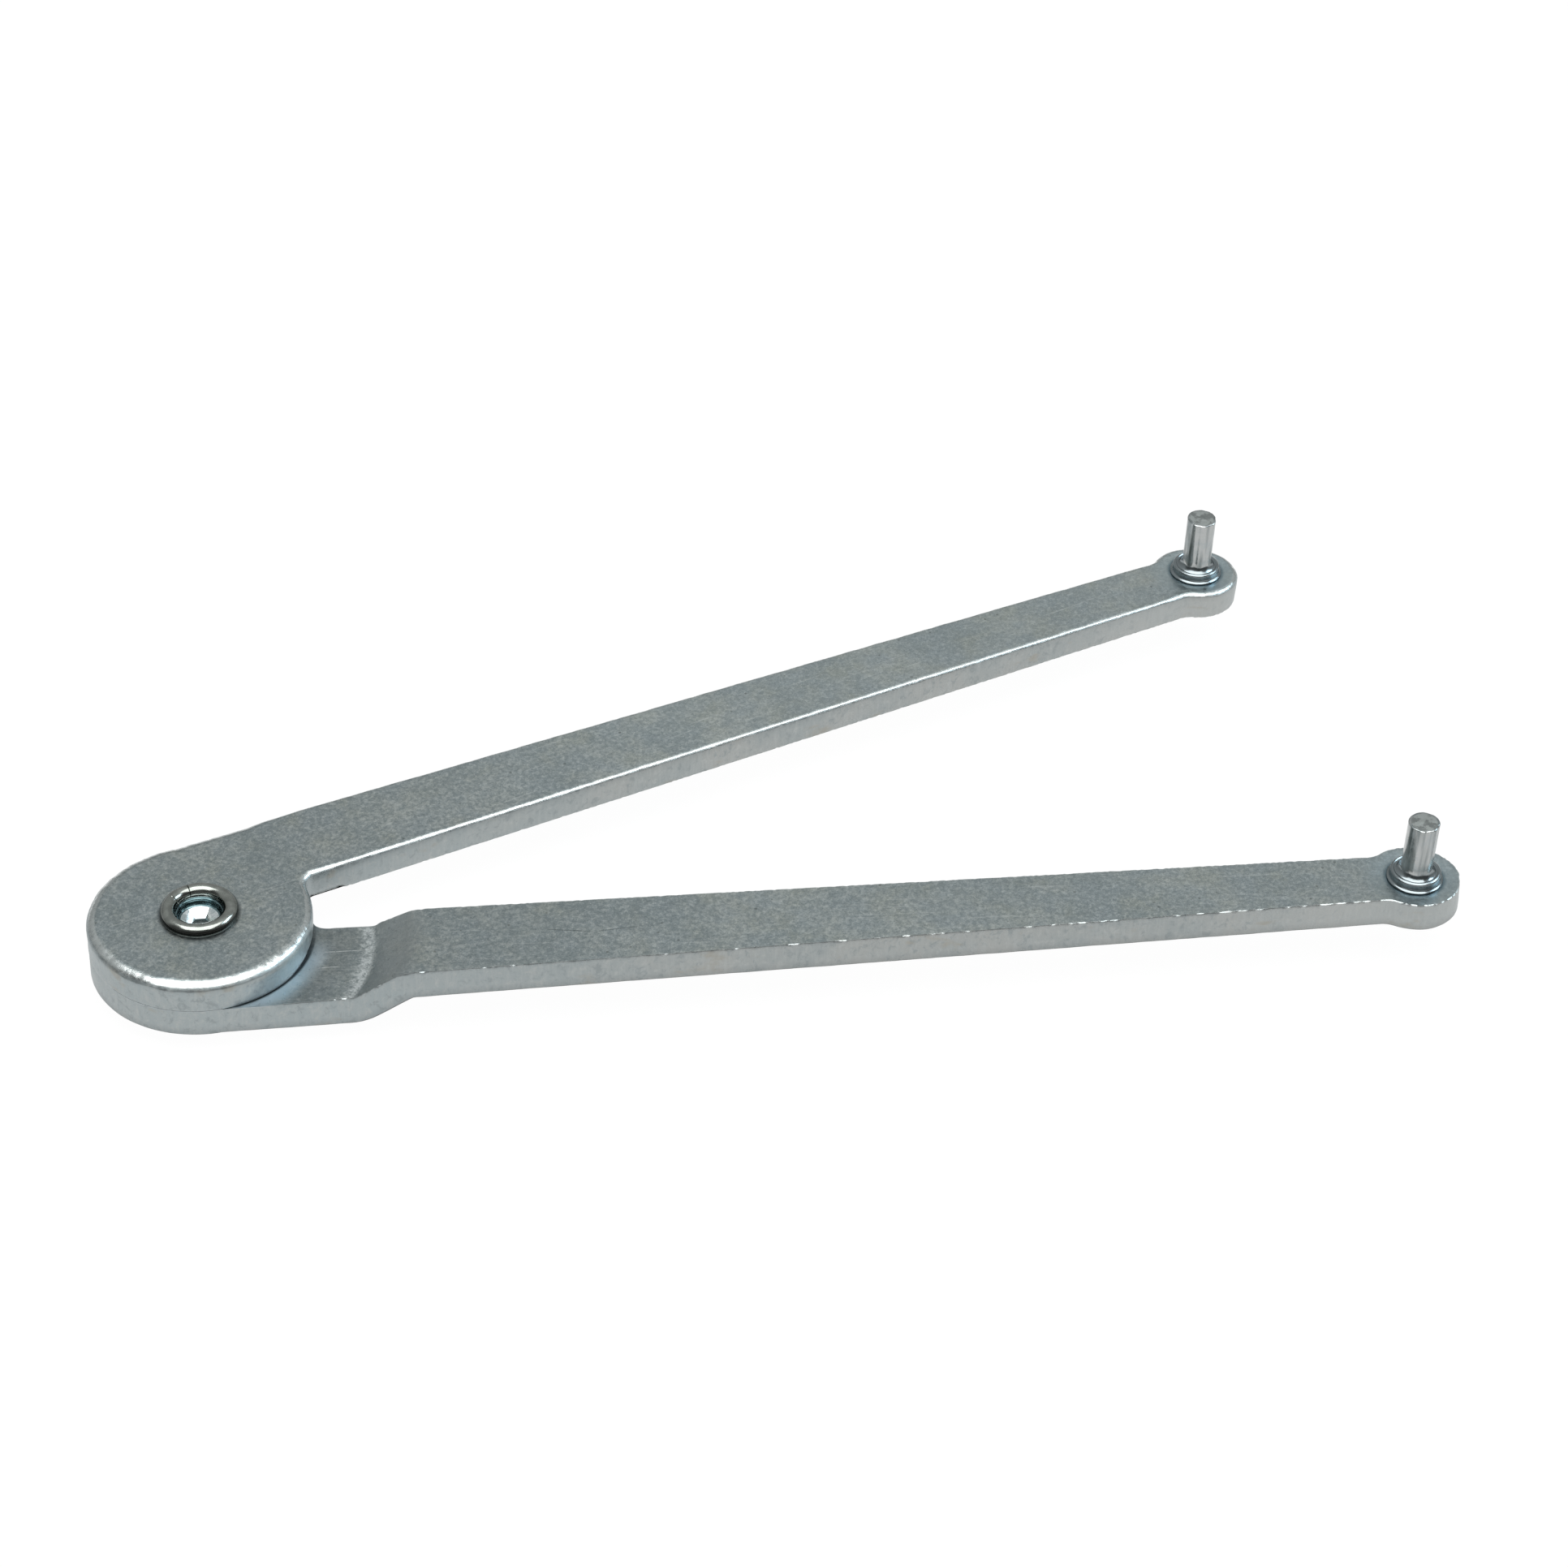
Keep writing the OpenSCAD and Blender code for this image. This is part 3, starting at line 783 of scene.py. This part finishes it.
def pin_plate(name, shift):
    g = Graph(name)
    plain = g.mapped((1, 1, 1), shift=shift)
    zone = g.attribute("zone")
    stain = g.noise(plain, 0.8, 4.0, 0.6)
    drawn = g.noise(g.mapped((0.9, 0.9, 0.10), shift=shift), 1.0, 3.0, 0.5)
    fine = g.noise(plain, 5.0, 3.0, 0.6)
    pits = g.voronoi(plain, 0.8)
    metal = g.colour(g.span(drawn, 0.38, 0.62), (0.20, 0.225, 0.225), (0.42, 0.435, 0.43))
    metal = g.colour(g.span(stain, 0.45, 0.7, 0.0, 0.5), metal, (0.33, 0.37, 0.385))
    metal = g.colour(g.span(pits, 0.04, 0.09, 0.6, 0.0), metal, (0.12, 0.12, 0.11))
    metal = g.colour(g.span(zone, SHANK - 0.8, SHANK - 0.1), (0.225, 0.255, 0.265), metal)
    end = g.colour(g.span(stain, 0.44, 0.54), (0.27, 0.29, 0.285), (0.44, 0.47, 0.46))
    metal = g.colour(g.span(zone, END - 0.8, END - 0.1), metal, end)
    g.bump(((drawn, 0.25, 0.10), (stain, 0.15, 0.06), (fine, 0.10, 0.006)))
    return g.finish(metal, g.span(stain, 0.3, 0.7, 0.16, 0.27))


# ---------------------------------------------------------------- pieces
upper_arm = build_arm("upper_arm_detailed", False, 4.05, 11.0)
lower_arm = build_arm("lower_arm_detailed", True, 4.0, 47.0)
rivet = build_rivet()
upper_pin = build_pin("upper_pin_detailed", 5.0, 1)
lower_pin = build_pin("lower_pin_detailed", 17.0, -1)

# single scratches on the lower arm: start, end, width and whether they are pale
SCRATCHES = (((15.2, -3.6), (20.6, -3.4), 0.07, True), ((14.4, -6.6), (17.6, -6.3), 0.06, True),
             ((43.0, -4.6), (49.0, -5.3), 0.10, False), ((49.0, -5.3), (55.0, -4.5), 0.08, False))
upper_arm.data.materials.append(zinc_sheet("zinc_upper", TURN, (0.0, 0.0, 0.0), 1.0, (), False))
lower_arm.data.materials.append(zinc_sheet("zinc_lower", -TURN, (41.0, 17.0, 5.0), 0.90, SCRATCHES, True))
rivet.data.materials.append(rivet_plate())
upper_pin.data.materials.append(pin_plate("zinc_upper_pin", (0.0, 0.0, 0.0)))
lower_pin.data.materials.append(pin_plate("zinc_lower_pin", (13.0, 7.0, 0.0)))

for obj, node, body in ((upper_arm, "upper_arm", "upper_arm"), (lower_arm, "lower_arm", "lower_arm"),
                        (rivet, "pivot_rivet", "lower_arm"), (upper_pin, "upper_pin", "upper_arm"),
                        (lower_pin, "lower_pin", "lower_arm")):
    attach(obj, body)
    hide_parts(node)

# ---------------------------------------------------------------- floor, light and camera
floor_mesh = bpy.data.meshes.new("floor")
FLOOR_HALF, FLOOR_DROP = 3.0, 0.0004
corners = [(x * FLOOR_HALF, y * FLOOR_HALF, 0) for x, y in ((-1, -1), (1, -1), (1, 1), (-1, 1))]
floor_mesh.from_pydata(corners, [], [(0, 1, 2, 3)])
floor = bpy.data.objects.new("floor", floor_mesh)
bpy.context.collection.objects.link(floor)
floor.location = (0, 0, -FLOOR_DROP)
floor_mat = bpy.data.materials.new("floor_paint")
floor_mat.use_nodes = True
paint = floor_mat.node_tree.nodes["Principled BSDF"]
paint.inputs["Base Color"].default_value = (0.03, 0.03, 0.03, 1)
paint.inputs["Roughness"].default_value = 0.9
paint.inputs["Specular IOR Level"].default_value = 0.0
paint.inputs["Emission Color"].default_value = (1, 1, 1, 1)
paint.inputs["Emission Strength"].default_value = 0.975
floor_mesh.materials.append(floor_mat)

world = bpy.data.worlds.new("studio")
bpy.context.scene.world = world
world.use_nodes = True
wt = world.node_tree
back = wt.nodes["Background"]
coord = wt.nodes.new("ShaderNodeTexCoord")
split = wt.nodes.new("ShaderNodeSeparateXYZ")
wt.links.new(coord.outputs["Generated"], split.inputs[0])


def sky(stops):
    """Grey levels by height, from the horizon (0) to straight up (1)."""
    node = wt.nodes.new("ShaderNodeValToRGB")
    elements = node.color_ramp.elements
    for element, (place, value) in zip(elements, (stops[0], stops[-1])):
        element.position = place
        element.color = (value * 0.97, value, value, 1)
    for place, value in stops[1:-1]:
        elements.new(place).color = (value * 0.97, value, value, 1)
    wt.links.new(split.outputs[2], node.inputs[0])
    return node.outputs[0]


# A pale room that is darker on one side, so that rolled edges and round parts have contrast.
DARK_SIDE = (-0.33, -0.944, 0)
far_sky = sky(((0.0, 0.36), (0.12, 0.40), (0.40, 0.52), (0.62, 0.60), (0.80, 0.72), (1.0, 0.95)))
near_sky = sky(((0.0, 0.17), (0.30, 0.14), (0.66, 0.15), (0.84, 0.45), (1.0, 0.95)))
toward = wt.nodes.new("ShaderNodeVectorMath")
toward.operation = "DOT_PRODUCT"
toward.inputs[1].default_value = DARK_SIDE
wt.links.new(coord.outputs["Generated"], toward.inputs[0])
blend_sky = wt.nodes.new("ShaderNodeMapRange")
blend_sky.inputs["From Min"].default_value = -0.05
blend_sky.inputs["From Max"].default_value = 0.25
wt.links.new(toward.outputs["Value"], blend_sky.inputs["Value"])
both = wt.nodes.new("ShaderNodeMix")
both.data_type = "RGBA"
wt.links.new(blend_sky.outputs["Result"], both.inputs[0])
wt.links.new(far_sky, both.inputs[6])
wt.links.new(near_sky, both.inputs[7])
# the camera itself sees plain white
ray = wt.nodes.new("ShaderNodeLightPath")
pick = wt.nodes.new("ShaderNodeMix")
pick.data_type = "RGBA"
pick.inputs[7].default_value = (1, 1, 1, 1)
wt.links.new(ray.outputs["Is Camera Ray"], pick.inputs[0])
wt.links.new(both.outputs[2], pick.inputs[6])
wt.links.new(pick.outputs[2], back.inputs[0])


def softbox(name, place, aim, size, power):
    light = bpy.data.lights.new(name, "AREA")
    light.shape = "RECTANGLE"
    light.size, light.size_y = size
    light.energy = power
    obj = bpy.data.objects.new(name, light)
    bpy.context.collection.objects.link(obj)
    obj.location = place
    obj.rotation_euler = (Vector(aim) - Vector(place)).to_track_quat("-Z", "Y").to_euler()
    return obj


softbox("key_box", (-0.02, -0.24, 1.25), (0.07, 0, 0), (1.6, 1.15), 20.0)
cool_box = softbox("cool_box", (0.96, -0.06, 0.76), (0.02, 0, 0), (0.55, 0.42), 5.0)
cool_box.data.color = (0.70, 0.88, 1.0)

# Camera, aimed as the photograph's: bearing, height, roll and distance from a point on the arms' top.
AZ, EL, LEAN, DIST = math.radians(-19.313), math.radians(38.413), math.radians(2.186), 472.993
back_v = Vector((math.sin(AZ) * math.cos(EL), -math.cos(AZ) * math.cos(EL), math.sin(EL)))
right_v = Vector((math.cos(AZ), math.sin(AZ), 0))
up_v = back_v.cross(right_v)
right_r = right_v * math.cos(LEAN) + up_v * math.sin(LEAN)
up_r = up_v * math.cos(LEAN) - right_v * math.sin(LEAN)
spot = Vector((75.082, 2.934, TOP_Z)) + back_v * DIST
cam = bpy.data.cameras.new("photo_camera")
cam.sensor_width = 36.0
cam.lens = 83.31
cam.shift_x = 0.01147
cam.shift_y = 0.00809
cam.clip_start = 0.01
cam.clip_end = 20
cam_obj = bpy.data.objects.new("photo_camera", cam)
bpy.context.collection.objects.link(cam_obj)
basis = Matrix((right_r, up_r, back_v)).transposed().to_4x4()
cam_obj.matrix_world = Matrix.Translation(spot * MM) @ basis
bpy.context.scene.camera = cam_obj

bpy.context.scene.view_settings.view_transform = "Standard"
bpy.context.scene.view_settings.look = "None"
